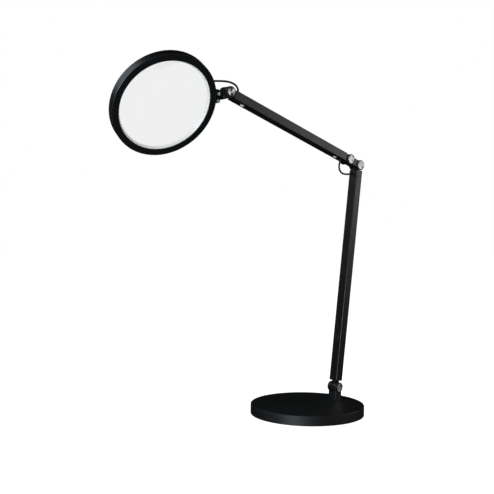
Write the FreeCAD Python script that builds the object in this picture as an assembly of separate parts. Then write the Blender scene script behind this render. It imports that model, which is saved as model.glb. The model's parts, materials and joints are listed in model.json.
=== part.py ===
import FreeCAD, Part

import math
import os

# Magnifying lamp on a round weighted base: two rectangular arms, a two-pivot elbow link, a tilting and
# swivelling neck, and a ring-lit magnifier head. Millimetres, +Z up, origin at the middle of the
# base's underside. The lamp faces -Y, and every arm hinge turns about a line along X.

V = FreeCAD.Vector
X_AXIS = V(1, 0, 0)

# ---- driving dimensions: base ---------------------------------------------------------------------
BASE_RADIUS = 115.0
BASE_HEIGHT = 20.6
BASE_SKIN = 2.0
BASE_ROUND = 1.6
PAD_THICK = 1.0
PLATE_TOP = 3.0
PLATE_SCREW_CIRCLE = 96.0
WEIGHT_RADIUS = BASE_RADIUS - BASE_SKIN - 1.0
WEIGHT_TOP = BASE_HEIGHT - BASE_SKIN - 3.0
INLET_RADIUS = 5.0
INLET_Z = 9.5
WIRE_LOW = PLATE_TOP + 4.0
WIRE_BEND = 9.0
POST_BOLT_RADIUS = 2.0
POST_BOLT_OUT = 6.0
POST_BOLT_DEPTH = 10.0

# ---- driving dimensions: pose of the pivots, lengths between them and angles in degrees -------------
HINGE_Y = 79.4
HINGE_Z = 45.8
LOWER_LEAN = 6.65
LOWER_LENGTH = 465.7
LINK_LENGTH = 30.7
LINK_LEAN = 68.7
UPPER_LEAN = 71.0
UPPER_LENGTH = 337.8
STICK_DROP = 18.5

# ---- driving dimensions: arms, rectangular tubes that are wide along X -------------------------------
BAR_WIDE = 21.4
BAR_DEEP = 17.2
BAR_WALL = 1.6
BAR_EDGE = 1.5
FOOT_START = 13.6
TOP_START = 11.0
UPPER_START = 12.5
FITTING_SEAM = 27.0
PLUG_END = 52.0
ARM_SCREW = 1.5
LOWER_SCREWS = [38.0, LOWER_LENGTH - 38.0]
UPPER_SCREWS = [35.6, UPPER_LENGTH - 40.6]
BUTTON_AT = 102.6
BUTTON_RADIUS = 4.5
BEZEL_STEM = 5.1
BEZEL_END = 6.6
BOARD_FACE = 3.7

# ---- driving dimensions: hinges, link and neck -------------------------------------------------------
EYE_RADIUS = 10.5
TONGUE_RADIUS = 9.0
TONGUE_NECK = 7.4
TONGUE_HALF = 3.0
SLOT_HALF = 3.6
SLOT_DEPTH = 9.6
PIN_RADIUS = 3.0
PIN_HALF = 11.2
KNOB_OUT = 12.1
DISC_OUT = 12.7
DISC_RADIUS = 9.1
DISH_RADIUS = 90.0
DISH_DEPTH = 0.35
WASHER_RADIUS = 8.0
WASHER_PLAY = 0.05
LINK_WAIST = 7.0
KNUCKLE_END = 16.8
KNUCKLE_TOP = 6.0
KNUCKLE_UNDER = 9.9
KNUCKLE_HALF = 7.2
KNUCKLE_SHOULDER = 5.0
COLLAR_START = 17.0
COLLAR_END = 21.2
COLLAR_RADIUS = 6.4
SWIVEL_RADIUS = 3.5
GROOVE_RADIUS = 2.7
SET_SCREW_AT = 13.4
FIT = 0.04

# ---- driving dimensions: cables and their holes ------------------------------------------------------
CABLE_RADIUS = 1.9
CABLE_PLAY = 0.3
GROMMET_STEM = 2.7
GROMMET_RADIUS = 3.1
WIRE_BORE = 2.5
WIRE_SETBACK = 2.2
ELBOW_EXIT = 17.9
ELBOW_ENTRY = 19.2
NECK_ENTRY = 23.8
ELBOW_ROUTE = [
    (0, 86.2, 520.7), (0, 81.5, 509.6), (0, 81.4, 497.4), (0, 91.2, 488.9), (0, 107.8, 488.4),
    (0, 124.8, 490.6),
]
NECK_ROUTE = [
    (0, -189.7, 627.3), (0, -188.3, 636.4), (-0.1, -193.8, 644.0), (-1.0, -203.0, 648.4),
    (-2.8, -216.2, 650.0), (-5.4, -231.0, 649.4), (-9.0, -246.2, 648.0), (-4.0, -258.9, 644.8),
    (8.2, -260.6, 637.0),
]

# ---- driving dimensions: head, with radii from its axis and depths from its mid-plane ----------------
HEAD_ROLL = 60.7
HEAD_RAKE = 16.3
HEAD_REACH = 132.5
HEAD_SETBACK = 13.7
HEAD_RADIUS = 99.8
HEAD_CHAMFER = 0.4
HEAD_THICK = 17.0
HEAD_WALL = 2.2
WINDOW_RADIUS = 87.1
COVER_SPLIT = -6.5
LUG_IN = 90.5
LUG_OUT = 111.5
LUG_HALF = 12.3
LUG_TOP = -4.4
FLANGE_IN = 100.6
FLANGE_OUT = 112.5
FLANGE_TOP = -0.4
FLANGE_ROUND = 3.0
TONGUE_OUT = 116.5
BRACKET_SCREW_AT = 107.3
BRACKET_SCREW_HALF = 7.4
CABLE_PORT_ANGLE = 14.0
CABLE_PORT_RADIUS = 94.8
PORT_STEM = 2.3
REAR_SCREW_CIRCLE = 95.4
LENS_RADIUS = 87.6
LENS_EDGE = 3.0
LENS_BULGE = 5.0
LED_COUNT = 48

HALF_X = BAR_WIDE / 2
HALF_Y = BAR_DEEP / 2
BORE_X = HALF_X - BAR_WALL
BORE_Y = HALF_Y - BAR_WALL
FACE_W = HEAD_THICK / 2


# ---- small shape helpers ------------------------------------------------------------------------
def block(x, y, z):
    """A box from three (low, high) pairs."""
    return Part.makeBox(x[1] - x[0], y[1] - y[0], z[1] - z[0], V(x[0], y[0], z[0]))


def rod(radius, start, end):
    """A cylinder between two points."""
    start, end = V(*start), V(*end)
    return Part.makeCylinder(radius, (end - start).Length, start, end - start)


def tube(outer, inner, start, end):
    """A round tube between two points."""
    return rod(outer, start, end).cut(rod(inner, start, end))


def turned(points):
    """A closed outline of (radius, height) points turned about the Z axis."""
    corners = [V(r, 0, z) for r, z in points]
    face = Part.Face(Part.makePolygon(corners + corners[:1]))
    return face.revolve(V(0, 0, 0), V(0, 0, 1), 360)


def plate_yz(points, x_low, x_high):
    """A closed outline of (y, z) points made into a plate between two x values."""
    corners = [V(x_low, y, z) for y, z in points]
    face = Part.Face(Part.makePolygon(corners + corners[:1]))
    return face.extrude(V(x_high - x_low, 0, 0))


def group(shapes):
    """Separate solids that share one node."""
    return Part.makeCompound(shapes)


def soften(shape, radius, wanted):
    """Rounds the edges for which wanted(edge) is true."""
    return shape.makeFillet(radius, [e for e in shape.Edges if wanted(e)])


def runs_along(edge, axis):
    """Whether a straight edge runs along one of the main axes, 0 to 2."""
    if edge.Curve.TypeId != "Part::GeomLine":
        return False
    step = edge.Vertexes[-1].Point - edge.Vertexes[0].Point
    return abs(abs(step[axis]) - step.Length) < 1e-6


def lies_at(edge, axis, value):
    """Whether an edge lies wholly at one value along a main axis."""
    box = edge.BoundBox
    low = (box.XMin, box.YMin, box.ZMin)[axis]
    high = (box.XMax, box.YMax, box.ZMax)[axis]
    return abs(low - value) < 1e-4 and abs(high - value) < 1e-4


# ---- places of the pivots and of each body's own frame --------------------------------------------
def leaning(angle):
    """A unit vector that starts as +Z and leans towards -Y by an angle in degrees."""
    return V(0, -math.sin(math.radians(angle)), math.cos(math.radians(angle)))


def frame_at(origin, lean):
    """A frame at a pivot whose own Z axis leans towards -Y by an angle in degrees."""
    return FreeCAD.Placement(origin, FreeCAD.Rotation(X_AXIS, lean))


BASE_PIVOT = V(0, HINGE_Y, HINGE_Z)
ELBOW_LOW = BASE_PIVOT + leaning(-LOWER_LEAN) * LOWER_LENGTH
ELBOW_HIGH = ELBOW_LOW + leaning(LINK_LEAN) * LINK_LENGTH
NECK_PIVOT = ELBOW_HIGH + leaning(UPPER_LEAN) * UPPER_LENGTH
STICK_LEAN = 90 + STICK_DROP
STICK = leaning(STICK_LEAN)

POST_FRAME = frame_at(BASE_PIVOT, 0)
LOWER_FRAME = frame_at(BASE_PIVOT, -LOWER_LEAN)
LINK_FRAME = frame_at(ELBOW_LOW, LINK_LEAN)
UPPER_FRAME = frame_at(ELBOW_HIGH, UPPER_LEAN)
NECK_FRAME = frame_at(NECK_PIVOT, STICK_LEAN)


def head_frame():
    """The head's frame: origin mid-thickness, X towards the neck, Z out of the front face."""
    rake, roll = math.radians(HEAD_RAKE), math.radians(HEAD_ROLL)
    side = leaning(STICK_LEAN + 90) * math.cos(roll) + X_AXIS * math.sin(roll)
    front = STICK * math.sin(rake) + side * math.cos(rake)
    to_neck = STICK * -math.cos(rake) + side * math.sin(rake)
    up = front.cross(to_neck)
    centre = NECK_PIVOT - to_neck * HEAD_REACH + front * HEAD_SETBACK
    matrix = FreeCAD.Matrix()
    for row in range(3):
        for column, axis in enumerate((to_neck, up, front, centre)):
            setattr(matrix, f"A{row + 1}{column + 1}", axis[row])
    return FreeCAD.Placement(matrix)


HEAD_FRAME = head_frame()


def neck_to_head(point):
    """A point of the neck's frame given in the head's frame."""
    return HEAD_FRAME.inverse().multVec(NECK_FRAME.multVec(V(*point)))


# ---- hinges -------------------------------------------------------------------------------------
def hinge_pin(z=0.0):
    return rod(PIN_RADIUS, (-PIN_HALF, 0, z), (PIN_HALF, 0, z))


def hinge_knobs(z=0.0):
    """The two round caps on the outside of a hinge, each with a shallow recess for its disc."""
    knobs = []
    for side in (-1, 1):
        knob = rod(EYE_RADIUS, (side * (HALF_X + FIT), 0, z), (side * KNOB_OUT, 0, z))
        knob = soften(knob, 0.4, lambda e: lies_at(e, 0, side * KNOB_OUT))
        recess = rod(DISC_RADIUS + FIT, (side * (PIN_HALF + FIT), 0, z), (side * (KNOB_OUT + 1), 0, z))
        bore = rod(PIN_RADIUS + FIT, (0, 0, z), (side * KNOB_OUT, 0, z))
        knobs.append(knob.cut(recess).cut(bore))
    return group(knobs)


def hinge_discs(z=0.0):
    """The turned metal discs let into the knobs: a slightly dished face with a softened rim."""
    discs = []
    for side in (-1, 1):
        disc = rod(DISC_RADIUS, (side * (PIN_HALF + FIT), 0, z), (side * DISC_OUT, 0, z))
        disc = soften(disc, 0.3, lambda e: lies_at(e, 0, side * DISC_OUT))
        dish = Part.makeSphere(DISH_RADIUS, V(side * (DISC_OUT + DISH_RADIUS - DISH_DEPTH), 0, z))
        discs.append(disc.cut(dish))
    return group(discs)


def hinge_washers(z=0.0):
    """Two friction washers between the tongue and the fork's cheeks."""
    inner, outer = TONGUE_HALF + WASHER_PLAY, SLOT_HALF - WASHER_PLAY
    return group([
        tube(WASHER_RADIUS, PIN_RADIUS + FIT, (side * inner, 0, z), (side * outer, 0, z))
        for side in (-1, 1)
    ])


def fork_slot(z, towards):
    """The slot between a fork's cheeks, open on one side of the pivot and all round it."""
    reach = EYE_RADIUS + 1
    low, high = sorted((z + towards * SLOT_DEPTH, z - towards * reach))
    return block((-SLOT_HALF, SLOT_HALF), (-reach, reach), (low, high))


def pin_bore(z=0.0):
    return rod(PIN_RADIUS + FIT / 2, (-HALF_X - 1, 0, z), (HALF_X + 1, 0, z))


# ---- base ---------------------------------------------------------------------------------------
def base_cover():
    """A pressed dish with a rounded upper edge, open underneath."""
    dish = Part.makeCylinder(BASE_RADIUS, BASE_HEIGHT - PAD_THICK, V(0, 0, PAD_THICK))
    dish = soften(dish, BASE_ROUND, lambda e: lies_at(e, 2, BASE_HEIGHT))
    hollow = Part.makeCylinder(BASE_RADIUS - BASE_SKIN, BASE_HEIGHT - BASE_SKIN - PAD_THICK,
                               V(0, 0, PAD_THICK))
    dish = dish.cut(hollow)
    dish = dish.cut(rod(INLET_RADIUS + FIT, (0, 0, INLET_Z), (0, BASE_RADIUS + 1, INLET_Z)))
    for x, y in post_bolt_places():
        dish = dish.cut(rod(POST_BOLT_RADIUS + FIT, (x, y, 10), (x, y, BASE_HEIGHT + 1)))
    return dish.cut(rod(CABLE_RADIUS + CABLE_PLAY, (0, HINGE_Y, 10), (0, HINGE_Y, BASE_HEIGHT + 1)))


def post_bolt_places():
    return [(side * POST_BOLT_OUT, HINGE_Y) for side in (-1, 1)]


def plate_screw_places():
    spots = [math.radians(45 + 90 * n) for n in range(4)]
    return [(PLATE_SCREW_CIRCLE * math.cos(a), PLATE_SCREW_CIRCLE * math.sin(a)) for a in spots]


def base_weight():
    """A steel disc with room for the inlet and the wire at the back, and for the post's bolts."""
    disc = Part.makeCylinder(WEIGHT_RADIUS, WEIGHT_TOP - PLATE_TOP, V(0, 0, PLATE_TOP))
    disc = soften(disc, 1.0, lambda e: lies_at(e, 2, WEIGHT_TOP))
    disc = disc.cut(block((-14, 14), (HINGE_Y - 11, BASE_RADIUS), (0, BASE_HEIGHT)))
    for x, y in plate_screw_places():
        disc = disc.cut(rod(2.0, (x, y, PLATE_TOP), (x, y, PLATE_TOP + 8)))
    return disc


def base_plate():
    """The bottom plate, sunk screw holes near its edge."""
    plate = Part.makeCylinder(BASE_RADIUS - BASE_SKIN - 0.2, PLATE_TOP - PAD_THICK - 0.1,
                              V(0, 0, PAD_THICK))
    for x, y in plate_screw_places():
        plate = plate.cut(rod(2.2, (x, y, 0), (x, y, PLATE_TOP)))
        plate = plate.cut(Part.makeCone(4.2, 2.2, 2.0, V(x, y, PAD_THICK)))
    return plate


def base_plate_screws():
    screws = []
    for x, y in plate_screw_places():
        head = Part.makeCone(4.0, 1.9, 1.9, V(x, y, PAD_THICK + 0.02))
        shank = rod(1.9, (x, y, PAD_THICK + 1.0), (x, y, PLATE_TOP + 7))
        slot = block((x - 3, x + 3), (y - 0.4, y + 0.4), (PAD_THICK, PAD_THICK + 0.7))
        screws.append(head.fuse(shank).cut(slot))
    return group(screws)


def base_pad():
    """The non-slip sheet that the lamp stands on."""
    pad = Part.makeCylinder(BASE_RADIUS - 4.0, PAD_THICK, V(0, 0, 0))
    return soften(pad, 0.3, lambda e: lies_at(e, 2, 0.0))


def power_inlet():
    """A round low-voltage socket through the back of the base's rim."""
    back = BASE_RADIUS + 0.6
    front = BASE_RADIUS - 13.0
    body = rod(INLET_RADIUS, (0, front, INLET_Z), (0, back, INLET_Z))
    flange = rod(INLET_RADIUS + 1.3, (0, BASE_RADIUS + 0.02, INLET_Z), (0, back + 0.6, INLET_Z))
    body = body.fuse(flange)
    body = body.cut(rod(2.8, (0, front + 3, INLET_Z), (0, back + 2, INLET_Z)))
    return body.fuse(rod(0.9, (0, front + 2, INLET_Z), (0, back - 1.5, INLET_Z)))


def base_post():
    """A post with a fork at its top, in the frame of the base pivot."""
    foot = BASE_HEIGHT - HINGE_Z
    post = block((-HALF_X, HALF_X), (-HALF_Y, HALF_Y), (foot, 0))
    post = soften(post, BAR_EDGE, lambda e: runs_along(e, 2))
    eye = rod(EYE_RADIUS, (-HALF_X, 0, 0), (HALF_X, 0, 0))
    post = post.fuse(eye).cut(fork_slot(0, -1)).cut(pin_bore())
    for x, y in post_bolt_places():
        post = post.cut(rod(POST_BOLT_RADIUS + FIT, (x, 0, foot - 1), (x, 0, foot + POST_BOLT_DEPTH + 1)))
    passage = rod(CABLE_RADIUS + CABLE_PLAY, (0, 0, foot - 1), (0, 0, -SLOT_DEPTH + 1))
    return post.cut(passage).removeSplitter()


def post_bolts():
    bolts = []
    under = BASE_HEIGHT - BASE_SKIN
    for x, y in post_bolt_places():
        head = rod(3.4, (x, y, under - 2.6), (x, y, under - 0.02))
        shank = rod(POST_BOLT_RADIUS, (x, y, under - 1), (x, y, BASE_HEIGHT + POST_BOLT_DEPTH))
        socket = rod(1.4, (x, y, under - 3), (x, y, under - 1.2))
        bolts.append(head.fuse(shank).cut(socket))
    return group(bolts)


def base_wire():
    """The wire from the inlet to the foot of the hinge: one bend inside the base."""
    low, bend = WIRE_LOW, WIRE_BEND
    top = HINGE_Z - SLOT_DEPTH - 0.5
    start_y = BASE_RADIUS - 13.2
    centre = V(0, HINGE_Y + bend, low + bend)
    middle = centre + V(0, -bend * math.sqrt(0.5), -bend * math.sqrt(0.5))
    path = Part.Wire([
        Part.LineSegment(V(0, start_y, low), V(0, HINGE_Y + bend, low)).toShape(),
        Part.Arc(V(0, HINGE_Y + bend, low), middle, V(0, HINGE_Y, low + bend)).toShape(),
        Part.LineSegment(V(0, HINGE_Y, low + bend), V(0, HINGE_Y, top)).toShape(),
    ])
    circle = Part.Circle(V(0, start_y, low), V(0, -1, 0), CABLE_RADIUS).toShape()
    return path.makePipeShell([Part.Wire(circle)], True, True)


# ---- arms ---------------------------------------------------------------------------------------
def arm_tube(length):
    """The rectangular tube between the two end fittings, in the frame of its first pivot."""
    low, high = FITTING_SEAM, length - FITTING_SEAM
    bar = block((-HALF_X, HALF_X), (-HALF_Y, HALF_Y), (low, high))
    bar = soften(bar, BAR_EDGE, lambda e: runs_along(e, 2))
    return bar.cut(block((-BORE_X, BORE_X), (-BORE_Y, BORE_Y), (low - 1, high + 1)))


def end_fitting(start, cable_at=None, cable_side=-1, screw_at=None, screw_side=-1):
    """Tongue, shoulder and plug of an arm's end, in the frame of that end's pivot, with the arm
    running along +Z and the shoulder starting at start. A cable hole may lead in from one face."""
    play = 0.15
    plug_x, plug_y = BORE_X - play, BORE_Y - play
    shoulder = block((-HALF_X, HALF_X), (-HALF_Y, HALF_Y), (start, FITTING_SEAM - play))
    shoulder = soften(shoulder, BAR_EDGE, lambda e: runs_along(e, 2))
    plug = block((-plug_x, plug_x), (-plug_y, plug_y), (start + 2, PLUG_END))
    tongue = block((-TONGUE_HALF, TONGUE_HALF), (-TONGUE_NECK, TONGUE_NECK), (0, start + 1))
    tongue = tongue.fuse(rod(TONGUE_RADIUS, (-TONGUE_HALF, 0, 0), (TONGUE_HALF, 0, 0)))
    fitting = shoulder.fuse(plug).fuse(tongue)
    fitting = fitting.cut(rod(PIN_RADIUS + 0.06, (-HALF_X, 0, 0), (HALF_X, 0, 0)))
    if cable_at:
        hole = GROMMET_STEM + FIT
        fitting = fitting.cut(rod(hole, (0, 0, cable_at), (0, cable_side * (HALF_Y + 1), cable_at)))
        fitting = fitting.cut(rod(WIRE_BORE, (0, 0, cable_at), (0, 0, PLUG_END + 1)))
    if screw_at:
        fitting = fitting.cut(screw_hole(screw_at, screw_side))
    return fitting.removeSplitter()


def far_end(shape, length):
    """Turns a fitting round to the other end of its arm, keeping its front face in front."""
    turned_round = shape.mirror(V(0, 0, 0), V(0, 0, 1))
    turned_round.translate(V(0, 0, length))
    return turned_round


def grommet(at, side):
    """A soft collar in a cable hole, in an arm's frame. The hole in it is roomy enough for the
    cable to lean."""
    face = side * HALF_Y
    collar = rod(GROMMET_RADIUS, (0, face, at), (0, face + side * 1.0, at))
    collar = soften(collar, 0.5, lambda e: lies_at(e, 1, face + side * 1.0))
    stem = rod(GROMMET_STEM, (0, face - side * 1.4, at), (0, face + side * 0.5, at))
    hole = rod(CABLE_RADIUS + 0.4, (0, face - side * 3, at), (0, face + side * 3, at))
    return collar.fuse(stem).cut(hole)


def arm_screw(at, side):
    """A button-head screw through the tube's wall into the plug of a fitting."""
    face = side * HALF_Y
    head = rod(3.9, (0, face + side * 0.02, at), (0, face + side * 1.1, at))
    head = soften(head, 0.6, lambda e: lies_at(e, 1, face + side * 1.1))
    shank = rod(ARM_SCREW, (0, face + side * 0.5, at), (0, side * 1.5, at))
    socket = rod(1.2, (0, face + side * 0.35, at), (0, face + side * 2, at))
    return head.fuse(shank).cut(socket)


def screw_hole(at, side):
    return rod(ARM_SCREW + FIT, (0, 0, at), (0, side * (HALF_Y + 1), at))


def lower_arm_tube():
    bar = arm_tube(LOWER_LENGTH)
    for at in LOWER_SCREWS:
        bar = bar.cut(screw_hole(at, 1))
    return bar.cut(rod(BEZEL_STEM + FIT, (0, 0, BUTTON_AT), (0, -HALF_Y - 1, BUTTON_AT)))


def upper_arm_tube():
    bar = arm_tube(UPPER_LENGTH)
    for at in UPPER_SCREWS:
        bar = bar.cut(screw_hole(at, -1))
    return bar


def switch_bezel():
    """The ring round the switch button."""
    lip = rod(5.7, (0, -HALF_Y - 0.02, BUTTON_AT), (0, -HALF_Y - 0.4, BUTTON_AT))
    stem = rod(BEZEL_STEM, (0, -HALF_Y - 0.3, BUTTON_AT), (0, -BEZEL_END, BUTTON_AT))
    hole = rod(BUTTON_RADIUS + 0.15, (0, -HALF_Y - 2, BUTTON_AT), (0, 0, BUTTON_AT))
    return lip.fuse(stem).cut(hole)


def switch_button():
    """A round button with a flange behind the bezel that keeps it in."""
    top = -HALF_Y - 0.6
    cap = rod(BUTTON_RADIUS, (0, top, BUTTON_AT), (0, -BEZEL_END + 0.6, BUTTON_AT))
    cap = soften(cap, 0.5, lambda e: lies_at(e, 1, top))
    flange = rod(5.0, (0, -BEZEL_END + 0.1, BUTTON_AT), (0, -BEZEL_END + 0.9, BUTTON_AT))
    return cap.fuse(flange)


def switch_board():
    """A small circuit board across the tube, with its push switch under the button."""
    board = block((-6.5, 6.5), (-BOARD_FACE, -BOARD_FACE + 1.2), (BUTTON_AT - 16, BUTTON_AT + 16))
    body = block((-2.6, 2.6), (-BOARD_FACE - 0.7, -BOARD_FACE), (BUTTON_AT - 2.6, BUTTON_AT + 2.6))
    chip = block((-2, 2), (-BOARD_FACE - 1.0, -BOARD_FACE), (BUTTON_AT + 7, BUTTON_AT + 12))
    return board.fuse(body).fuse(chip)


def arm_wire(low, high):
    """The wire lying in an arm, behind the board."""
    return rod(CABLE_RADIUS, (0, WIRE_SETBACK, low), (0, WIRE_SETBACK, high))


# ---- elbow link and neck --------------------------------------------------------------------------
def elbow_link():
    """A dog-bone link with a fork round each of its two pivots."""
    bar = block((-HALF_X, HALF_X), (-LINK_WAIST, LINK_WAIST), (0, LINK_LENGTH))
    for z in (0, LINK_LENGTH):
        bar = bar.fuse(rod(EYE_RADIUS, (-HALF_X, 0, z), (HALF_X, 0, z)))
    bar = bar.cut(fork_slot(0, 1)).cut(fork_slot(LINK_LENGTH, -1))
    return bar.cut(pin_bore()).cut(pin_bore(LINK_LENGTH)).removeSplitter()


def neck_knuckle():
    """The fork at the neck, narrowing both ways to the seat that the head swivels on."""
    root, seat = 2.0, KNUCKLE_END - 3.0
    above, below = 8.4, EYE_RADIUS - 0.3
    taper = [(-below, root), (above, root), (KNUCKLE_TOP, seat), (KNUCKLE_TOP, KNUCKLE_END),
             (-KNUCKLE_UNDER, KNUCKLE_END), (-KNUCKLE_UNDER, seat)]
    eye = rod(EYE_RADIUS, (-HALF_X, 0, 0), (HALF_X, 0, 0))
    plan = [(-HALF_X, 0), (HALF_X, 0), (HALF_X, KNUCKLE_SHOULDER), (KNUCKLE_HALF, seat),
            (KNUCKLE_HALF, KNUCKLE_END), (-KNUCKLE_HALF, KNUCKLE_END), (-KNUCKLE_HALF, seat),
            (-HALF_X, KNUCKLE_SHOULDER)]
    sides = plate_yz(plan, -2 * EYE_RADIUS, 2 * EYE_RADIUS)
    sides.rotate(V(0, 0, 0), V(0, 0, 1), 90)
    knuckle = plate_yz(taper, -HALF_X, HALF_X).common(sides).fuse(eye)
    knuckle = soften(knuckle.removeSplitter(), 0.8, lambda e: lies_at(e, 2, KNUCKLE_END))
    knuckle = knuckle.cut(fork_slot(0, 1)).cut(pin_bore())
    knuckle = knuckle.cut(rod(SWIVEL_RADIUS + 0.05, (0, 0, 0), (0, 0, KNUCKLE_END + 1)))
    return knuckle.cut(rod(1.5 + FIT, (0, 0, SET_SCREW_AT), (0, -EYE_RADIUS - 1, SET_SCREW_AT)))


def neck_set_screw():
    """The grub screw whose tip rides in the swivel pin's groove."""
    low = -KNUCKLE_UNDER + 0.2
    screw = rod(1.5, (0, low, SET_SCREW_AT), (0, -SWIVEL_RADIUS - 0.1, SET_SCREW_AT))
    tip = rod(0.8, (0, -SWIVEL_RADIUS - 0.2, SET_SCREW_AT), (0, -GROOVE_RADIUS - 0.2, SET_SCREW_AT))
    socket = rod(0.7, (0, low - 1, SET_SCREW_AT), (0, low + 1.4, SET_SCREW_AT))
    return screw.fuse(tip).cut(socket)


def swivel_pin():
    """The pin that the head turns on, grooved for the set screw."""
    pin = rod(SWIVEL_RADIUS, (0, 0, SLOT_DEPTH + 0.5), (0, 0, COLLAR_END - 0.6))
    groove = tube(SWIVEL_RADIUS + 1, GROOVE_RADIUS, (0, 0, SET_SCREW_AT - 1), (0, 0, SET_SCREW_AT + 1))
    return pin.cut(groove)


# ---- head: everything here is in the head's own frame, radius from its axis and depth w along Z ------
def lug_block(low, high, grow=0.0):
    lug = block((LUG_IN, LUG_OUT + grow), (-LUG_HALF - grow, LUG_HALF + grow), (low, high))
    return soften(lug, FLANGE_ROUND, lambda e: runs_along(e, 2) and e.BoundBox.XMin > LUG_OUT - 1)


def head_housing():
    """The outer wall and the front bezel, notched at the back for the cover's lug."""
    inner = HEAD_RADIUS - HEAD_WALL
    ring = turned([
        (WINDOW_RADIUS, FACE_W), (HEAD_RADIUS - HEAD_CHAMFER, FACE_W),
        (HEAD_RADIUS, FACE_W - HEAD_CHAMFER),
        (HEAD_RADIUS, COVER_SPLIT + 0.1), (inner, COVER_SPLIT + 0.1),
        (inner, FACE_W - HEAD_WALL), (WINDOW_RADIUS + 0.6, FACE_W - HEAD_WALL),
        (WINDOW_RADIUS, FACE_W - 1.0),
    ])
    return ring.cut(lug_block(COVER_SPLIT - 1, LUG_TOP + 0.2, 0.2))


def head_rear_cover():
    """The back of the head: a flared bore round the lens, a seat for it, and the bracket's lug."""
    cover = turned([
        (86.2, -2.3), (88.5, -2.3), (88.5, 2.2), (90.0, 2.2), (90.0, -2.8), (93.6, COVER_SPLIT),
        (HEAD_RADIUS, COVER_SPLIT), (HEAD_RADIUS, -FACE_W + HEAD_CHAMFER),
        (HEAD_RADIUS - HEAD_CHAMFER, -FACE_W), (91.6, -FACE_W),
    ])
    cover = cover.fuse(lug_block(-FACE_W, LUG_TOP)).removeSplitter()
    x, y = cable_port()
    cover = cover.cut(rod(PORT_STEM + FIT, (x, y, -FACE_W - 1), (x, y, COVER_SPLIT + 3)))
    for x, y in rear_screw_places():
        cover = cover.cut(rod(1.3, (x, y, -FACE_W - 1), (x, y, COVER_SPLIT + 1)))
        cover = cover.cut(rod(2.5, (x, y, -FACE_W - 1), (x, y, -FACE_W + 1.0)))
    for side in (-1, 1):
        y = side * BRACKET_SCREW_HALF
        cover = cover.cut(rod(1.54, (BRACKET_SCREW_AT, y, -7.5), (BRACKET_SCREW_AT, y, 0)))
    return cover


def cable_port():
    angle = math.radians(CABLE_PORT_ANGLE)
    return CABLE_PORT_RADIUS * math.cos(angle), CABLE_PORT_RADIUS * math.sin(angle)


def rear_screw_places():
    spots = [math.radians(60 + 60 * n) for n in range(5)]
    return [(REAR_SCREW_CIRCLE * math.cos(a), REAR_SCREW_CIRCLE * math.sin(a)) for a in spots]


def rear_cover_screws():
    screws = []
    for x, y in rear_screw_places():
        head = rod(2.4, (x, y, -FACE_W + 0.2), (x, y, -FACE_W + 0.98))
        shank = rod(1.2, (x, y, -FACE_W + 0.5), (x, y, -1.0))
        cross = block((x - 1.4, x + 1.4), (y - 0.3, y + 0.3), (-FACE_W, -FACE_W + 0.6))
        screws.append(head.fuse(shank).cut(cross))
    return group(screws)


def magnifier_lens():
    """A lens that bulges on both sides, with a flat edge."""
    edge = LENS_EDGE / 2
    curve = (LENS_RADIUS ** 2 + LENS_BULGE ** 2) / (2 * LENS_BULGE)
    disc = Part.makeCylinder(LENS_RADIUS, 20, V(0, 0, -10))
    for side in (-1, 1):
        disc = disc.common(Part.makeSphere(curve, V(0, 0, side * (edge + LENS_BULGE - curve))))
    return disc


def lens_gasket():
    return turned([(87.7, -2.2), (88.4, -2.2), (88.4, 2.1), (87.7, 2.1)])


def light_diffuser():
    """A white ring: a sloping lit face just inside the bezel, and a flange under it."""
    return turned([
        (84.0, 2.6), (87.0, 5.8), (87.7, 6.2), (96.6, 6.2), (96.6, 5.0), (88.2, 5.0), (85.8, 2.6),
    ])


def led_board():
    return turned([(90.4, 1.0), (96.6, 1.0), (96.6, 2.2), (90.4, 2.2)])


def led_chips():
    """Forty-eight light chips evenly round the board, turned to face out of the ring's centre."""
    chips = []
    for n in range(LED_COUNT):
        chip = block((92.2, 95.0), (-1.75, 1.75), (2.22, 3.0))
        chip.rotate(V(0, 0, 0), V(0, 0, 1), 360.0 * n / LED_COUNT)
        chips.append(chip)
    return group(chips)


def head_bracket():
    """A flange screwed to the front of the lug, with a narrow tongue out to the collar that turns
    against the knuckle."""
    flange = block((FLANGE_IN, FLANGE_OUT), (-LUG_HALF, LUG_HALF), (LUG_TOP + 0.02, FLANGE_TOP))
    flange = soften(flange, FLANGE_ROUND, lambda e: runs_along(e, 2))
    tongue_half = COLLAR_RADIUS - 0.2
    tongue = block((FLANGE_OUT - 3, TONGUE_OUT), (-tongue_half, tongue_half), (LUG_TOP + 0.02, FLANGE_TOP))
    start = neck_to_head((0, 0, COLLAR_START))
    end = neck_to_head((0, 0, COLLAR_END))
    collar = rod(COLLAR_RADIUS, start, end)
    bracket = flange.fuse(tongue).fuse(collar).removeSplitter()
    for side in (-1, 1):
        y = side * BRACKET_SCREW_HALF
        bracket = bracket.cut(rod(1.7, (BRACKET_SCREW_AT, y, -6), (BRACKET_SCREW_AT, y, 2)))
    step = end - start
    return bracket.cut(rod(SWIVEL_RADIUS + FIT / 2, start - step, start + step * 0.9))


def bracket_screws():
    """Two bright socket screws that hold the bracket to the lug."""
    screws = []
    for side in (-1, 1):
        x, y = BRACKET_SCREW_AT, side * BRACKET_SCREW_HALF
        head = rod(3.2, (x, y, FLANGE_TOP + 0.02), (x, y, FLANGE_TOP + 2.0))
        head = soften(head, 0.5, lambda e: lies_at(e, 2, FLANGE_TOP + 2.0))
        shank = rod(1.5, (x, y, FLANGE_TOP + 0.5), (x, y, -7.3))
        socket = rod(1.3, (x, y, FLANGE_TOP + 0.9), (x, y, FLANGE_TOP + 3))
        screws.append(head.fuse(shank).cut(socket))
    return group(screws)


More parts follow.
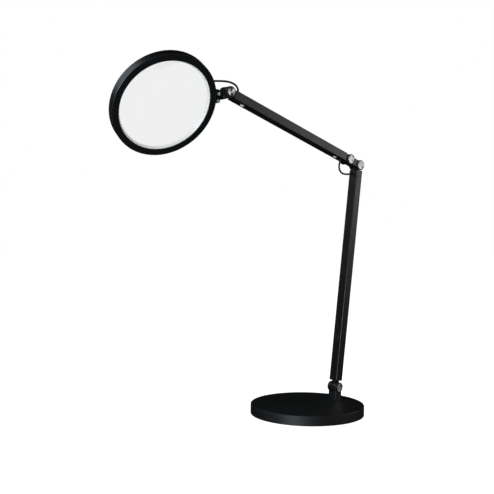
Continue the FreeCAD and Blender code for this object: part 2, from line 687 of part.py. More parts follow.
def head_grommet():
    """The collar that the neck cable enters the head through."""
    x, y = cable_port()
    collar = rod(GROMMET_RADIUS, (x, y, -FACE_W - 1.2), (x, y, -FACE_W - 0.02))
    collar = soften(collar, 0.5, lambda e: lies_at(e, 2, -FACE_W - 1.2))
    stem = rod(PORT_STEM, (x, y, -FACE_W - 0.5), (x, y, COVER_SPLIT + 0.6))
    return collar.fuse(stem).cut(rod(CABLE_RADIUS + 0.1, (x, y, -12), (x, y, -4)))


# ---- cables ---------------------------------------------------------------------------------------
def cable(name, route, radius):
    """A round cable: straight runs joined by tangent arcs, each as large as its runs allow."""
    points = [V(*p) for p in route]
    reach = 0.45
    edges, last, length = [], points[0], 0.0
    radii = []
    for before, corner, after in zip(points, points[1:], points[2:]):
        into, out = (corner - before).normalize(), (after - corner).normalize()
        cut = reach * min((corner - before).Length, (after - corner).Length)
        half_turn = into.getAngle(out) / 2
        arc_radius = cut / math.tan(half_turn)
        start, end = corner - into * cut, corner + out * cut
        towards = (out - into).normalize()
        middle = corner + towards * (arc_radius / math.cos(half_turn) - arc_radius)
        edges += [Part.LineSegment(last, start).toShape(), Part.Arc(start, middle, end).toShape()]
        length += (start - last).Length + arc_radius * 2 * half_turn
        radii.append(round(arc_radius, 1))
        last = end
    edges.append(Part.LineSegment(last, points[-1]).toShape())
    length += (points[-1] - last).Length
    circle = Part.Circle(points[0], points[1] - points[0], radius).toShape()
    solid = Part.Wire(edges).makePipeShell([Part.Wire(circle)], True, True)
    expected = math.pi * radius ** 2 * length
    print(name, "length", round(length, 1), "radii", radii, "volume ratio",
          round(solid.Volume / expected, 4))
    return solid


# ---- the nodes, each with the frame it is drawn in --------------------------------------------------
WORLD = FreeCAD.Placement()
HINGES = {
    "base_hinge": (POST_FRAME, 0.0),
    "elbow_lower": (LINK_FRAME, 0.0),
    "elbow_upper": (LINK_FRAME, LINK_LENGTH),
    "neck_hinge": (NECK_FRAME, 0.0),
}

NODES = {
    "base_cover": (WORLD, base_cover()),
    "base_weight": (WORLD, base_weight()),
    "base_plate": (WORLD, base_plate()),
    "base_plate_screws": (WORLD, base_plate_screws()),
    "base_pad": (WORLD, base_pad()),
    "power_inlet": (WORLD, power_inlet()),
    "post_bolts": (WORLD, post_bolts()),
    "base_wire": (WORLD, base_wire()),
    "base_post": (POST_FRAME, base_post()),
    "lower_arm_tube": (LOWER_FRAME, lower_arm_tube()),
    "lower_arm_foot": (LOWER_FRAME, end_fitting(
        FOOT_START, screw_at=LOWER_SCREWS[0], screw_side=1)),
    "lower_arm_top": (LOWER_FRAME, far_end(
        end_fitting(TOP_START, ELBOW_ENTRY, -1, LOWER_LENGTH - LOWER_SCREWS[1], 1), LOWER_LENGTH)),
    "lower_arm_screws": (LOWER_FRAME, group([arm_screw(at, 1) for at in LOWER_SCREWS])),
    "lower_arm_grommet": (LOWER_FRAME, grommet(LOWER_LENGTH - ELBOW_ENTRY, -1)),
    "lower_arm_wire": (LOWER_FRAME, arm_wire(PLUG_END + 1, LOWER_LENGTH - PLUG_END - 1)),
    "switch_bezel": (LOWER_FRAME, switch_bezel()),
    "switch_button": (LOWER_FRAME, switch_button()),
    "switch_board": (LOWER_FRAME, switch_board()),
    "elbow_link": (LINK_FRAME, elbow_link()),
    "upper_arm_tube": (UPPER_FRAME, upper_arm_tube()),
    "upper_arm_elbow_end": (UPPER_FRAME, end_fitting(
        UPPER_START, ELBOW_EXIT, -1, UPPER_SCREWS[0], -1)),
    "upper_arm_neck_end": (UPPER_FRAME, far_end(
        end_fitting(UPPER_START, NECK_ENTRY, 1, UPPER_LENGTH - UPPER_SCREWS[1], -1), UPPER_LENGTH)),
    "upper_arm_screws": (UPPER_FRAME, group([arm_screw(at, -1) for at in UPPER_SCREWS])),
    "upper_arm_grommets": (UPPER_FRAME, group([
        grommet(ELBOW_EXIT, -1), grommet(UPPER_LENGTH - NECK_ENTRY, 1)])),
    "upper_arm_wire": (UPPER_FRAME, arm_wire(PLUG_END + 1, UPPER_LENGTH - PLUG_END - 1)),
    "neck_knuckle": (NECK_FRAME, neck_knuckle()),
    "neck_set_screw": (NECK_FRAME, neck_set_screw()),
    "swivel_pin": (NECK_FRAME, swivel_pin()),
    "head_bracket": (HEAD_FRAME, head_bracket()),
    "bracket_screws": (HEAD_FRAME, bracket_screws()),
    "head_housing": (HEAD_FRAME, head_housing()),
    "head_rear_cover": (HEAD_FRAME, head_rear_cover()),
    "rear_cover_screws": (HEAD_FRAME, rear_cover_screws()),
    "magnifier_lens": (HEAD_FRAME, magnifier_lens()),
    "lens_gasket": (HEAD_FRAME, lens_gasket()),
    "light_diffuser": (HEAD_FRAME, light_diffuser()),
    "led_board": (HEAD_FRAME, led_board()),
    "led_chips": (HEAD_FRAME, led_chips()),
    "head_grommet": (HEAD_FRAME, head_grommet()),
    "elbow_cable": (WORLD, cable("elbow_cable", ELBOW_ROUTE, CABLE_RADIUS)),
    "neck_cable": (WORLD, cable("neck_cable", NECK_ROUTE, CABLE_RADIUS)),
}
for hinge, (frame, z) in HINGES.items():
    NODES[hinge + "_pin"] = (frame, hinge_pin(z))
    NODES[hinge + "_knobs"] = (frame, hinge_knobs(z))
    NODES[hinge + "_discs"] = (frame, hinge_discs(z))
    NODES[hinge + "_washers"] = (frame, hinge_washers(z))

os.makedirs("parts", exist_ok=True)
for name, (frame, shape) in NODES.items():
    placed = shape.copy()
    placed.Placement = frame.multiply(placed.Placement)
    solids = placed.Solids
    sound = all(s.isValid() and s.Volume > 0 for s in solids)
    print(name, "solids", len(solids), "volume", round(sum(s.Volume for s in solids), 1),
          "" if sound else "NOT SOUND")
    placed.exportStep("parts/" + name + ".step")
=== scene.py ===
import json
import math

import bpy
from mathutils import Matrix, Vector


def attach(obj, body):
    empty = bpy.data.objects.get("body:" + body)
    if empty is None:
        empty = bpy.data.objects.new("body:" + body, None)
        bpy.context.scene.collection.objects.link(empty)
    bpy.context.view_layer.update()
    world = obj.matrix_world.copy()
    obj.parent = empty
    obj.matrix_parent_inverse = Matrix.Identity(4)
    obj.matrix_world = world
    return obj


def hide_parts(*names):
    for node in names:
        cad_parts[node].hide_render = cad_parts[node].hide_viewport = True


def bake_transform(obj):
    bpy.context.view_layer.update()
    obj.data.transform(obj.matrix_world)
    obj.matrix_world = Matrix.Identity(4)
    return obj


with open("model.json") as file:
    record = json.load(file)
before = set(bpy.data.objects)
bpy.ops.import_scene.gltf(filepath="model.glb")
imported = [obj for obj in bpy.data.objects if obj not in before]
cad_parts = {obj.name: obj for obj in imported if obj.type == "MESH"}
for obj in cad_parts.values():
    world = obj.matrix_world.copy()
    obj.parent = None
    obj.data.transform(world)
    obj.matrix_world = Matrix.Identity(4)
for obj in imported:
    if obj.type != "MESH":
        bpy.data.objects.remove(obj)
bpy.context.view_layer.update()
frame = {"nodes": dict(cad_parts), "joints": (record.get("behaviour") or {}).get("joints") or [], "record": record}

# The looks of a magnifying lamp: camera, studio light, the two free cables, and a procedural finish
# for every node. Metres, in the model's own frame: the lamp stands on z = 0 and faces -Y.

# ---- places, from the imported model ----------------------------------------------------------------
JOINTS = {joint["name"]: joint for joint in frame["joints"]}
BASE_PIVOT = Vector(JOINTS["base_tilt"]["pos_m"])
ELBOW_LOW = Vector(JOINTS["elbow_lower"]["pos_m"])
ELBOW_HIGH = Vector(JOINTS["elbow_upper"]["pos_m"])
NECK = Vector(JOINTS["neck_tilt"]["pos_m"])
LOWER_ALONG = (ELBOW_LOW - BASE_PIVOT).normalized()
UPPER_ALONG = (NECK - ELBOW_HIGH).normalized()

# ---- camera ---------------------------------------------------------------------------------------
# Fitted, with the model, to the lamp's outlines in the photo. BACK points from the lamp to the camera.
CAMERA_PLACE = Vector((1.3253, -1.2606, 0.4132))
CAMERA_BACK = Vector((0.76960, -0.63717, 0.04156))
CAMERA_ROLL = 0.0112
CAMERA_LENS = 65.95
CAMERA_NEAR = 0.05
CAMERA_FAR = 50


def add_camera():
    camera = bpy.data.objects.new("camera", bpy.data.cameras.new("camera"))
    camera.data.lens = CAMERA_LENS
    camera.data.clip_start = CAMERA_NEAR
    camera.data.clip_end = CAMERA_FAR
    camera.location = CAMERA_PLACE
    level = CAMERA_BACK.to_track_quat("Z", "Y").to_matrix()
    roll = Matrix.Rotation(CAMERA_ROLL, 3, "Z")
    camera.rotation_euler = (level @ roll).to_euler()
    bpy.context.scene.collection.objects.link(camera)
    bpy.context.scene.camera = camera


# ---- the two free cables --------------------------------------------------------------------------
CABLE_DIAMETER = 0.0038
CABLE_SIDES = 20
CURVE_STEPS = 16
ELBOW_ROUTE = [
    (0, 0.0862, 0.5207), (0, 0.0815, 0.5096), (0, 0.0814, 0.4974), (0, 0.0912, 0.4889),
    (0, 0.1078, 0.4884), (0, 0.1248, 0.4906),
]
NECK_ROUTE = [
    (0, -0.1897, 0.6273), (0, -0.1883, 0.6364), (-0.0001, -0.1938, 0.6440),
    (-0.0010, -0.2030, 0.6484), (-0.0028, -0.2162, 0.6500), (-0.0054, -0.2310, 0.6494),
    (-0.0090, -0.2462, 0.6480), (-0.0040, -0.2589, 0.6448), (0.0082, -0.2606, 0.6370),
]


def smooth_line(route):
    """The points down the smooth curve that a route's points control."""
    curve = bpy.data.curves.new("route", "CURVE")
    curve.dimensions = "3D"
    curve.resolution_u = CURVE_STEPS
    spline = curve.splines.new("NURBS")
    spline.points.add(len(route) - 1)
    for point, place in zip(spline.points, route):
        point.co = (*place, 1)
    spline.order_u = 3
    spline.use_endpoint_u = True
    bare = bpy.data.objects.new("route", curve)
    mesh = bpy.data.meshes.new_from_object(bare)
    line = [vertex.co.copy() for vertex in mesh.vertices]
    bpy.data.objects.remove(bare)
    bpy.data.curves.remove(curve)
    bpy.data.meshes.remove(mesh)
    return line


def length_of(line):
    return sum((b - a).length for a, b in zip(line, line[1:]))


def halves(line):
    """A line cut in two at the point nearest to the middle of its length."""
    whole, run = length_of(line), 0.0
    for n, (a, b) in enumerate(zip(line, line[1:]), start=1):
        run += (b - a).length
        if run >= whole / 2:
            return line[: n + 1], line[n:]
    raise ValueError("the line has no length")


def rings_along(line, radius, sides):
    """One ring of points round each point of a line, turned as little as possible between them."""
    rings = []
    across = Vector((1, 0, 0))
    for n, place in enumerate(line):
        ahead = line[min(n + 1, len(line) - 1)] - line[max(n - 1, 0)]
        ahead.normalize()
        across = (across - ahead * across.dot(ahead)).normalized()
        other = ahead.cross(across)
        ring = []
        for k in range(sides):
            angle = 2 * math.pi * k / sides
            ring.append(place + (across * math.cos(angle) + other * math.sin(angle)) * radius)
        rings.append(ring)
    return rings


def tube_piece(name, rings):
    """A closed tube through rings of points, smooth along its side, with flat ends."""
    sides = len(rings[0])
    points = [point for ring in rings for point in ring]
    faces = []
    for n in range(len(rings) - 1):
        for k in range(sides):
            a, b = n * sides + k, n * sides + (k + 1) % sides
            faces.append((a, b, b + sides, a + sides))
    last = (len(rings) - 1) * sides
    faces.append(tuple(reversed(range(sides))))
    faces.append(tuple(range(last, last + sides)))
    mesh = bpy.data.meshes.new(name)
    mesh.from_pydata(points, [], faces)
    for face in mesh.polygons:
        face.use_smooth = len(face.vertices) == 4
    mesh.validate()
    piece = bpy.data.objects.new(name, mesh)
    bpy.context.scene.collection.objects.link(piece)
    return piece


def add_cable(name, route, node):
    """A cable over two joints, as two halves cut near the middle of its length."""
    line = smooth_line(route)
    rings = rings_along(line, CABLE_DIAMETER / 2, CABLE_SIDES)
    first, second = halves(line)
    spans = [(first, rings[: len(first)]), (second, rings[len(first) - 1:])]
    for n, (path, span) in enumerate(spans):
        piece = tube_piece(f"{name}_{n + 1}", span)
        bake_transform(piece)
        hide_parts(node)
        piece.data.materials.append(FINISHES["cable_sheath"])


# ---- the lens -------------------------------------------------------------------------------------
HEAD_ROLL = math.radians(60.7)
HEAD_RAKE = math.radians(16.3)
HEAD_REACH = 0.1325
HEAD_SETBACK = 0.0137
LENS_RADIUS = 0.0876
LENS_BULGE = 0.005
LENS_HALF_EDGE = 0.0015
LENS_RINGS = 28
LENS_SIDES = 120


def head_frame():
    """The head's own frame: X towards the neck, Z out of its front face, origin mid-depth."""
    stick = Vector(JOINTS["head_swivel"]["axis"])
    across = Vector((1, 0, 0))
    side = across.cross(stick) * math.cos(HEAD_ROLL) + across * math.sin(HEAD_ROLL)
    front = stick * math.sin(HEAD_RAKE) + side * math.cos(HEAD_RAKE)
    to_neck = side * math.sin(HEAD_RAKE) - stick * math.cos(HEAD_RAKE)
    up = front.cross(to_neck)
    centre = NECK - to_neck * HEAD_REACH + front * HEAD_SETBACK
    turn = Matrix((to_neck, up, front)).transposed().to_4x4()
    return Matrix.Translation(centre) @ turn


def lens_height(radius):
    """Half the lens's thickness at a radius."""
    curve = (LENS_RADIUS ** 2 + LENS_BULGE ** 2) / (2 * LENS_BULGE)
    fall = curve - math.sqrt(curve ** 2 - radius ** 2)
    return LENS_HALF_EDGE + LENS_BULGE - fall


def lens_surface(place):
    """The points and faces of both bulging sides and the rim, with the first point of each rim."""
    points, faces = [], []
    for side in (1, -1):
        pole = len(points)
        points.append(place @ Vector((0, 0, side * lens_height(0))))
        for n in range(1, LENS_RINGS + 1):
            radius = LENS_RADIUS * n / LENS_RINGS
            height = side * lens_height(radius)
            for k in range(LENS_SIDES):
                angle = 2 * math.pi * k / LENS_SIDES
                spot = Vector((radius * math.cos(angle), radius * math.sin(angle), height))
                points.append(place @ spot)
        for k in range(LENS_SIDES):
            after = (k + 1) % LENS_SIDES
            cells = [(pole, pole + 1 + k, pole + 1 + after)]
            for n in range(LENS_RINGS - 1):
                inner = pole + 1 + n * LENS_SIDES
                outer = inner + LENS_SIDES
                cells.append((inner + k, outer + k, outer + after, inner + after))
            faces += [cell if side > 0 else tuple(reversed(cell)) for cell in cells]
    front = 1 + (LENS_RINGS - 1) * LENS_SIDES
    back = front + len(points) // 2
    for k in range(LENS_SIDES):
        after = (k + 1) % LENS_SIDES
        faces.append((front + k, back + k, back + after, front + after))
    return points, faces, (front, back)


def add_lens():
    """The magnifier as one finely turned piece, so that nothing disturbs its even surface."""
    points, faces, starts = lens_surface(head_frame())
    mesh = bpy.data.meshes.new("magnifier_glass")
    mesh.from_pydata(points, [], faces)
    mesh.shade_smooth()
    rims = [set(range(start, start + LENS_SIDES)) for start in starts]
    for edge in mesh.edges:
        edge.use_edge_sharp = any(set(edge.vertices) <= rim for rim in rims)
    lens = bpy.data.objects.new("magnifier_glass", mesh)
    bpy.context.scene.collection.objects.link(lens)
    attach(lens, "head")
    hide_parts("magnifier_lens")
    mesh.materials.append(FINISHES["lens_glass"])


# ---- material helpers -----------------------------------------------------------------------------
EDGE_FLAT = 0.995
EDGE_SHARP = 0.85
EDGE_SAMPLES = 4


class Finish:
    """A material with its shader at hand and short ways to add and join nodes."""

    def __init__(self, name):
        self.material = bpy.data.materials.new(name)
        self.material.use_nodes = True
        self.tree = self.material.node_tree
        self.shader = self.tree.nodes["Principled BSDF"]
        self.place = self.add("ShaderNodeTexCoord").outputs["Object"]

    def add(self, kind, inputs=None, **settings):
        node = self.tree.nodes.new(kind)
        for key, value in settings.items():
            setattr(node, key, value)
        for key, value in (inputs or {}).items():
            if isinstance(value, bpy.types.NodeSocket):
                self.tree.links.new(value, node.inputs[key])
            else:
                node.inputs[key].default_value = value
        return node

    def set(self, **values):
        for key, value in values.items():
            self.shader.inputs[key.replace("_", " ")].default_value = value

    def join(self, socket, name):
        self.tree.links.new(socket, self.shader.inputs[name])

    def noise(self, size, detail=3.0, place=None):
        """Soft random values, 0 to 1, with blotches of about a size in metres."""
        inputs = {"Vector": place or self.place, "Scale": 1 / size, "Detail": detail}
        return self.add("ShaderNodeTexNoise", inputs).outputs["Fac"]

    def stretched(self, along, ratio):
        """Coordinates squeezed along a direction in the YZ plane, for marks drawn out that way."""
        turn = -math.atan2(-along.y, along.z)
        turned = self.add("ShaderNodeVectorRotate", {"Vector": self.place, "Angle": turn},
                          rotation_type="X_AXIS").outputs["Vector"]
        return self.add("ShaderNodeVectorMath", {0: turned, 1: (1, 1, 1 / ratio)},
                        operation="MULTIPLY").outputs["Vector"]

    def ranged(self, value, low, high, to_low, to_high):
        """A value's span low..high mapped to to_low..to_high, held at both ends."""
        inputs = {"Value": value, "From Min": low, "From Max": high, "To Min": to_low,
                  "To Max": to_high}
        return self.add("ShaderNodeMapRange", inputs).outputs["Result"]

    def mixed(self, share, a, b):
        """Colour a at share 0 and b at share 1."""
        node = self.add("ShaderNodeMix", data_type="RGBA")
        for key, value in (("Factor_Float", share), ("A_Color", a), ("B_Color", b)):
            socket = next(s for s in node.inputs if s.identifier == key)
            if isinstance(value, bpy.types.NodeSocket):
                self.tree.links.new(value, socket)
            else:
                socket.default_value = value
        return next(s for s in node.outputs if s.identifier == "Result_Color")

    def times(self, a, b):
        return self.add("ShaderNodeMath", {0: a, 1: b}, operation="MULTIPLY").outputs[0]

    def plus(self, a, b):
        return self.add("ShaderNodeMath", {0: a, 1: b}, operation="ADD").outputs[0]

    def edges(self, radius):
        """How much a place is on an outer edge, 0 to 1."""
        rounded = self.add("ShaderNodeBevel", {"Radius": radius},
                           samples=EDGE_SAMPLES).outputs["Normal"]
        plain = self.add("ShaderNodeNewGeometry").outputs["Normal"]
        same = self.add("ShaderNodeVectorMath", {0: rounded, 1: plain},
                        operation="DOT_PRODUCT").outputs["Value"]
        return self.ranged(same, EDGE_FLAT, EDGE_SHARP, 0.0, 1.0)

    def bump(self, height, depth, normal=None):
        inputs = {"Height": height, "Distance": depth, "Strength": 1.0}
        if normal:
            inputs["Normal"] = normal
        return self.add("ShaderNodeBump", inputs).outputs["Normal"]


def grey(value, blue=0.0):
    return (value, value, value + blue, 1.0)


# ---- materials ------------------------------------------------------------------------------------
def satin_paint(name, colour=0.006, rough=0.36, drawn=None):
    """Satin black paint: a fine orange-peel skin, cloudy gloss, and edges rubbed a little lighter.
    Given an arm's direction, faint drawing lines of the extrusion under it show through."""
    finish = Finish(name)
    finish.set(Specular_IOR_Level=0.5, IOR=1.5)
    cloud = finish.noise(0.06, 2.0)
    fine = finish.noise(0.0012, 3.0)
    edge = finish.edges(0.0007)
    worn = finish.times(edge, finish.ranged(finish.noise(0.009, 4.0), 0.42, 0.72, 0.0, 1.0))
    base = finish.mixed(cloud, grey(colour * 0.8), grey(colour * 1.3, colour * 0.06))
    finish.join(finish.mixed(worn, base, grey(0.035, 0.001)), "Base Color")
    gloss = finish.ranged(cloud, 0.3, 0.7, rough - 0.04, rough + 0.05)
    gloss = finish.plus(gloss, finish.ranged(fine, 0.3, 0.7, -0.03, 0.03))
    if drawn is not None:
        lines = finish.noise(0.0006, 2.0, finish.stretched(drawn, 220.0))
        gloss = finish.plus(gloss, finish.ranged(lines, 0.35, 0.65, -0.05, 0.05))
        skin = finish.bump(lines, 0.000003)
        finish.join(finish.bump(fine, 0.000003, skin), "Normal")
    else:
        peel = finish.bump(finish.noise(0.004, 2.0), 0.00001)
        finish.join(finish.bump(fine, 0.000003, peel), "Normal")
    finish.join(finish.plus(gloss, finish.times(worn, -0.06)), "Roughness")
    return finish.material


def moulded_shell(name):
    """Satin black moulded plastic: a spark-eroded grain, slightly uneven gloss, and a painted
    highlight along its edges, with a little handling wear.
    """
    finish = Finish(name)
    finish.set(Specular_IOR_Level=0.5, IOR=1.49)
    cloud = finish.noise(0.045, 3.0)
    grain = finish.add("ShaderNodeTexVoronoi", {"Vector": finish.place, "Scale": 2200.0},
                       feature="SMOOTH_F1").outputs["Distance"]
    edge = finish.edges(0.0008)
    base = finish.mixed(cloud, grey(0.0050), grey(0.0075, 0.0005))
    # The edges are painted lighter: a painted highlight line along them, with a little handling wear.
    finish.join(finish.mixed(finish.times(edge, 0.6), base, grey(0.10, 0.006)), "Base Color")
    finish.join(finish.ranged(cloud, 0.3, 0.7, 0.34, 0.42), "Roughness")
    finish.join(finish.bump(grain, 0.000006), "Normal")
    return finish.material


# The dark rim painted round each disc as shade against its knob: its start and full depth,
# as shares of the disc's diameter from its middle.
SHADE_RIM_FROM = 0.44
SHADE_RIM_TO = 0.455


def turned_metal(name):
    """Bright aluminium faced on a lathe: fine rings round the hinge's line, a gloss drawn out by
    them, and a dark rim painted round the edge as shade where the disc sits in its knob."""
    finish = Finish(name)
    finish.set(Metallic=1.0, Anisotropic=1.0, Anisotropic_Rotation=0.25, IOR=1.45)
    whole = finish.add("ShaderNodeTexCoord").outputs["Generated"]
    centred = finish.add("ShaderNodeVectorMath", {0: whole, 1: (0.5, 0.5, 0.5)},
                         operation="SUBTRACT").outputs["Vector"]
    flat = finish.add("ShaderNodeVectorMath", {0: centred, 1: (0.0, 1.0, 1.0)},
                      operation="MULTIPLY").outputs["Vector"]
    out = finish.add("ShaderNodeVectorMath", {0: flat}, operation="LENGTH").outputs["Value"]
    rings = finish.add("ShaderNodeTexNoise", {"W": out, "Scale": 90.0, "Detail": 3.0},
                       noise_dimensions="1D").outputs["Fac"]
    bright = finish.mixed(rings, grey(0.44, 0.02), grey(0.72, 0.02))
    # A dark ring painted round the disc's edge: painted shade where the disc meets its knob's rim.
    rim = finish.ranged(out, SHADE_RIM_FROM, SHADE_RIM_TO, 0.0, 1.0)
    finish.join(finish.mixed(rim, bright, grey(0.006, 0.0005)), "Base Color")
    finish.join(finish.ranged(rings, 0.3, 0.7, 0.30, 0.40), "Roughness")
    finish.join(finish.bump(rings, 0.000002), "Normal")
    tangent = finish.add("ShaderNodeTangent", direction_type="RADIAL", axis="X")
    finish.join(tangent.outputs["Tangent"], "Tangent")
    return finish.material


def plated(name, low, high, rough, mottle=0.004, metallic=1.0):
    """Plated steel: clouded plating and hairline scratches."""
    finish = Finish(name)
    finish.set(Metallic=metallic)
    cloud = finish.noise(mottle, 3.0)
    scratch = finish.noise(0.0003, 1.0, finish.stretched(Vector((0, 0.6, 0.8)), 30.0))
    shade = finish.plus(finish.times(cloud, 0.7), finish.times(scratch, 0.3))
    finish.join(finish.mixed(shade, grey(low, 0.01), grey(high, 0.012)), "Base Color")
    finish.join(finish.ranged(shade, 0.3, 0.7, rough - 0.06, rough + 0.08), "Roughness")
    finish.join(finish.bump(scratch, 0.000004), "Normal")
    return finish.material


def spangled(name):
    """Galvanised sheet with its frosty spangle."""
    finish = Finish(name)
    finish.set(Metallic=1.0)
    cells = finish.add("ShaderNodeTexVoronoi", {"Vector": finish.place, "Scale": 130.0})
    shade = finish.add("ShaderNodeRGBToBW", {"Color": cells.outputs["Color"]}).outputs["Val"]
    finish.join(finish.mixed(shade, grey(0.34, 0.01), grey(0.52, 0.015)), "Base Color")
    finish.join(finish.ranged(shade, 0.0, 1.0, 0.34, 0.52), "Roughness")
    finish.join(finish.bump(finish.noise(0.002, 2.0), 0.00002), "Normal")
    return finish.material


def rubbery(name, colour, rough, pores, depth):
    """Rubber or foam: dull, dusty, with pores of about a size."""
    finish = Finish(name)
    finish.set(Specular_IOR_Level=0.35, IOR=1.5, Sheen_Weight=0.05)
    pore = finish.add("ShaderNodeTexVoronoi", {"Vector": finish.place, "Scale": 1 / pores},
                      feature="SMOOTH_F1").outputs["Distance"]
    dust = finish.ranged(finish.noise(0.02, 4.0), 0.45, 0.75, 0.0, 0.5)
    base = finish.mixed(pore, grey(colour * 0.7), grey(colour * 1.2))
    finish.join(finish.mixed(dust, base, grey(colour * 2.0)), "Base Color")
    finish.join(finish.ranged(pore, 0.0, 1.0, rough + 0.05, rough - 0.05), "Roughness")
    finish.join(finish.bump(pore, depth), "Normal")
    return finish.material


def cable_sheath(name):
    """Black cable sheath: smooth, with the slight ripple of the cores inside and a soft gloss."""
    finish = Finish(name)
    finish.set(Specular_IOR_Level=0.5, IOR=1.5)
    cloud = finish.noise(0.006, 3.0)
    finish.join(finish.mixed(cloud, grey(0.007), grey(0.012, 0.001)), "Base Color")
    finish.join(finish.ranged(cloud, 0.3, 0.7, 0.34, 0.44), "Roughness")
    ripple = finish.bump(finish.noise(0.0035, 1.0), 0.00008)
    finish.join(finish.bump(finish.noise(0.0004, 2.0), 0.00001, ripple), "Normal")
    return finish.material


def nylon(name):
    """Natural nylon, slightly see-through and clouded."""
    finish = Finish(name)
    finish.set(Subsurface_Weight=0.2, Subsurface_Scale=0.001, IOR=1.53)
    cloud = finish.noise(0.004, 3.0)
    finish.join(finish.mixed(cloud, (0.66, 0.64, 0.58, 1), (0.78, 0.77, 0.73, 1)), "Base Color")
    finish.join(finish.ranged(cloud, 0.3, 0.7, 0.38, 0.5), "Roughness")
    finish.join(finish.bump(finish.noise(0.0006), 0.00001), "Normal")
    return finish.material


def lens_glass(name):
    """Clear lens glass with a breath of green and the faintest film of dust and wiping marks."""
    finish = Finish(name)
    finish.set(Transmission_Weight=1.0, IOR=1.49, Specular_IOR_Level=0.5)
    wiped = finish.noise(0.02, 4.0)
    finish.join(finish.mixed(wiped, (0.885, 0.889, 0.887, 1), (0.897, 0.901, 0.899, 1)),
                "Base Color")
    finish.join(finish.ranged(wiped, 0.4, 0.8, 0.0, 0.01), "Roughness")
    return finish.material


def opal_diffuser(name):
    """Opal white plastic with a slight glow, as if lit from behind."""
    finish = Finish(name)
    finish.set(IOR=1.49, Emission_Strength=0.2)
    cloud = finish.noise(0.01, 3.0)
    shade = finish.mixed(cloud, (0.74, 0.71, 0.67, 1), (0.80, 0.77, 0.73, 1))
    finish.join(shade, "Base Color")
    finish.join(shade, "Emission Color")
    finish.join(finish.ranged(cloud, 0.3, 0.7, 0.4, 0.5), "Roughness")
    finish.join(finish.bump(finish.noise(0.0008), 0.00001), "Normal")
    return finish.material


def circuit_board(name, mask, track):
    """Solder mask over tracks, with bare tinned pads showing in places."""
    finish = Finish(name)
    finish.set(IOR=1.5)
    between = [(a + b) / 2 for a, b in zip(mask, track)]
    tracks = finish.add("ShaderNodeTexBrick", {
        "Vector": finish.place, "Scale": 260.0, "Mortar Size": 0.03, "Color1": mask,
        "Color2": between, "Mortar": track}).outputs["Color"]
    pads = finish.ranged(finish.noise(0.003, 1.0), 0.66, 0.70, 0.0, 1.0)
    finish.join(finish.mixed(pads, tracks, (0.72, 0.70, 0.62, 1)), "Base Color")
    finish.join(pads, "Metallic")
    finish.join(finish.ranged(pads, 0.0, 1.0, 0.3, 0.4), "Roughness")
    finish.join(finish.bump(pads, 0.00003), "Normal")
    return finish.material


def led_chip(name):
    """Light chips: grainy pale yellow phosphor with a slight glow."""
    finish = Finish(name)
    finish.set(IOR=1.45, Emission_Strength=0.4)
    grain = finish.noise(0.0003, 3.0)
    shade = finish.mixed(grain, (0.93, 0.80, 0.36, 1), (0.97, 0.93, 0.66, 1))
    finish.join(shade, "Base Color")
    finish.join(shade, "Emission Color")
    finish.join(finish.ranged(grain, 0.3, 0.7, 0.3, 0.45), "Roughness")
    finish.join(finish.bump(grain, 0.00002), "Normal")
    return finish.material


FINISHES = {
    "black_metal": satin_paint("satin_black_paint"),
    "black_shell": moulded_shell("black_moulded_shell"),
    "turned_aluminium": turned_metal("turned_aluminium"),
    "steel": plated("zinc_plated_steel", low=0.30, high=0.52, rough=0.38),
    "bright_screw": plated("bright_plated_screw", low=0.88, high=0.98, rough=0.30,
                           mottle=0.002, metallic=0.1),
    "galvanised_plate": spangled("galvanised_sheet"),
    "foam_rubber": rubbery("foam_rubber", colour=0.016, rough=0.9, pores=0.0009, depth=0.00025),
    "black_rubber": rubbery("black_rubber", colour=0.012, rough=0.62, pores=0.0005,
                            depth=0.00002),
    "cable_sheath": cable_sheath("cable_sheath"),
    "washer_nylon": nylon("natural_nylon"),
    "lens_glass": lens_glass("lens_glass"),
    "white_diffuser": opal_diffuser("opal_diffuser"),
    "circuit_board": circuit_board("circuit_board", mask=(0.02, 0.16, 0.06, 1),
                                   track=(0.05, 0.30, 0.13, 1)),
    "led_chip": led_chip("led_chip"),
}
LOWER_ARM_FINISH = satin_paint("lower_arm_satin_black", drawn=LOWER_ALONG)
UPPER_ARM_FINISH = satin_paint("upper_arm_satin_black", drawn=UPPER_ALONG)
OWN_FINISH = {
    "base_cover": satin_paint("base_satin_black", colour=0.005, rough=0.5),
    "led_board": circuit_board("white_circuit_board", mask=grey(0.74), track=grey(0.62, 0.01)),
    "lower_arm_tube": LOWER_ARM_FINISH,
    "lower_arm_top": LOWER_ARM_FINISH,
    "lower_arm_foot": LOWER_ARM_FINISH,
    "upper_arm_tube": UPPER_ARM_FINISH,
    "upper_arm_elbow_end": UPPER_ARM_FINISH,
    "upper_arm_neck_end": UPPER_ARM_FINISH,
}


def finish_nodes():
    """Gives every node of the model the finish of its slot, or its own."""
    slots = {part["node"]: part["material_slot"] for part in frame["record"]["subparts"]}
    for name, node in frame["nodes"].items():
        node.data.materials.clear()
        node.data.materials.append(OWN_FINISH.get(name, FINISHES[slots[name]]))


# ---- floor and light ------------------------------------------------------------------------------
FLOOR_HALF = 6.0
FLOOR_DROP = 0.0004
FLOOR_GLOW = 0.96
BACKDROP_WHITE = 1.0
STUDIO_TINT = (0.92, 0.96, 1.0, 1)
STUDIO_GLOSS = 0.012
STUDIO_FILL = 0.09
WARM = (1.0, 0.95, 0.90)
COOL = (0.78, 0.9, 1.0)
SOFTBOXES = [
    # name, place, what it points at, width and height, watts, colour
    ("right_rear", (1.38, 2.20, 1.02), (0, 0.1, 0.45), (1.4, 1.3), 16, WARM),
    ("right_side", (2.33, 0.70, 0.40), (0, 0.1, 0.45), (0.35, 0.35), 3, WARM),
    ("left_high", (-1.3, -1.5, 1.9), (0, -0.3, 0.5), (1.8, 1.5), 14, COOL),
    ("front_low", (0.75, -1.9, 0.25), (0, 0, 0.1), (0.5, 0.6), 31, COOL),
]


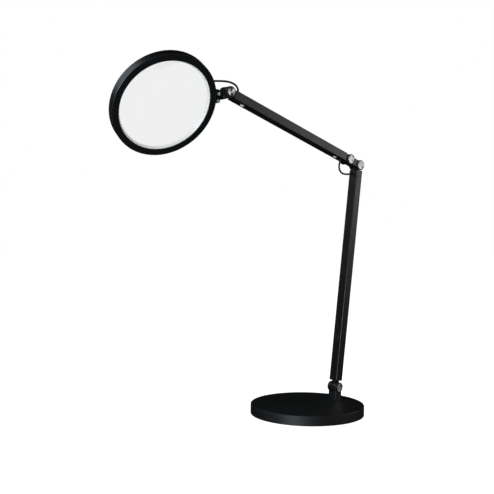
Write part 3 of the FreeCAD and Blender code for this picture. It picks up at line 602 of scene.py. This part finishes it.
def add_floor():
    """A plain pale floor. It is left out of reflections and bounced light, as a dark studio's
    floor would be."""
    mesh = bpy.data.meshes.new("floor")
    corners = [(-FLOOR_HALF, -FLOOR_HALF, 0), (FLOOR_HALF, -FLOOR_HALF, 0),
               (FLOOR_HALF, FLOOR_HALF, 0), (-FLOOR_HALF, FLOOR_HALF, 0)]
    mesh.from_pydata(corners, [], [(0, 1, 2, 3)])
    floor = bpy.data.objects.new("floor", mesh)
    floor.location.z = -FLOOR_DROP
    floor.visible_glossy = False
    floor.visible_diffuse = False
    finish = Finish("pale_floor")
    finish.set(Base_Color=grey(0.9), Roughness=0.9, Specular_IOR_Level=0.0,
               Emission_Color=grey(1.0), Emission_Strength=FLOOR_GLOW)
    mesh.materials.append(finish.material)
    bpy.context.scene.collection.objects.link(floor)


def add_world():
    """White where it is looked at, through the lens too; a dim studio in reflections, and a soft
    fill on matt surfaces."""
    world = bpy.data.worlds.new("studio")
    world.use_nodes = True
    bpy.context.scene.world = world
    tree = world.node_tree
    rays = tree.nodes.new("ShaderNodeLightPath").outputs

    def backdrop(colour, strength):
        node = tree.nodes.new("ShaderNodeBackground")
        node.inputs["Color"].default_value = colour
        node.inputs["Strength"].default_value = strength
        return node.outputs[0]

    def chosen(share, a, b):
        node = tree.nodes.new("ShaderNodeMixShader")
        for socket, value in zip(node.inputs, (share, a, b)):
            tree.links.new(value, socket)
        return node.outputs[0]

    # A glossy ray that isn't a transmission ray: it was mirrored and didn't pass through glass.
    untransmitted = tree.nodes.new("ShaderNodeMath")
    untransmitted.operation = "SUBTRACT"
    untransmitted.inputs[0].default_value = 1.0
    tree.links.new(rays["Is Transmission Ray"], untransmitted.inputs[1])
    product = tree.nodes.new("ShaderNodeMath")
    product.operation = "MULTIPLY"
    tree.links.new(rays["Is Glossy Ray"], product.inputs[0])
    tree.links.new(untransmitted.outputs[0], product.inputs[1])
    mirrored = product.outputs[0]
    white = backdrop(grey(1.0), BACKDROP_WHITE)
    dim = backdrop(STUDIO_TINT, STUDIO_GLOSS)
    soft = backdrop(grey(1.0), STUDIO_FILL)
    surface = chosen(rays["Is Diffuse Ray"], chosen(mirrored, white, dim), soft)
    tree.links.new(surface, tree.nodes["World Output"].inputs["Surface"])


def add_softbox(name, place, aim, size, power, colour):
    lamp = bpy.data.lights.new(name, "AREA")
    lamp.shape = "RECTANGLE"
    lamp.size, lamp.size_y = size
    lamp.energy = power
    lamp.color = colour
    box = bpy.data.objects.new(name, lamp)
    box.location = place
    box.rotation_euler = (Vector(aim) - Vector(place)).to_track_quat("-Z", "Y").to_euler()
    box.visible_camera = False
    box.visible_transmission = False
    bpy.context.scene.collection.objects.link(box)


def add_lights():
    for softbox in SOFTBOXES:
        add_softbox(*softbox)


# ---- everything together --------------------------------------------------------------------------
add_camera()
add_cable("elbow_cable_half", ELBOW_ROUTE, "elbow_cable")
add_cable("neck_cable_half", NECK_ROUTE, "neck_cable")
add_lens()
finish_nodes()
add_floor()
add_world()
add_lights()
bpy.context.scene.view_settings.view_transform = "Standard"
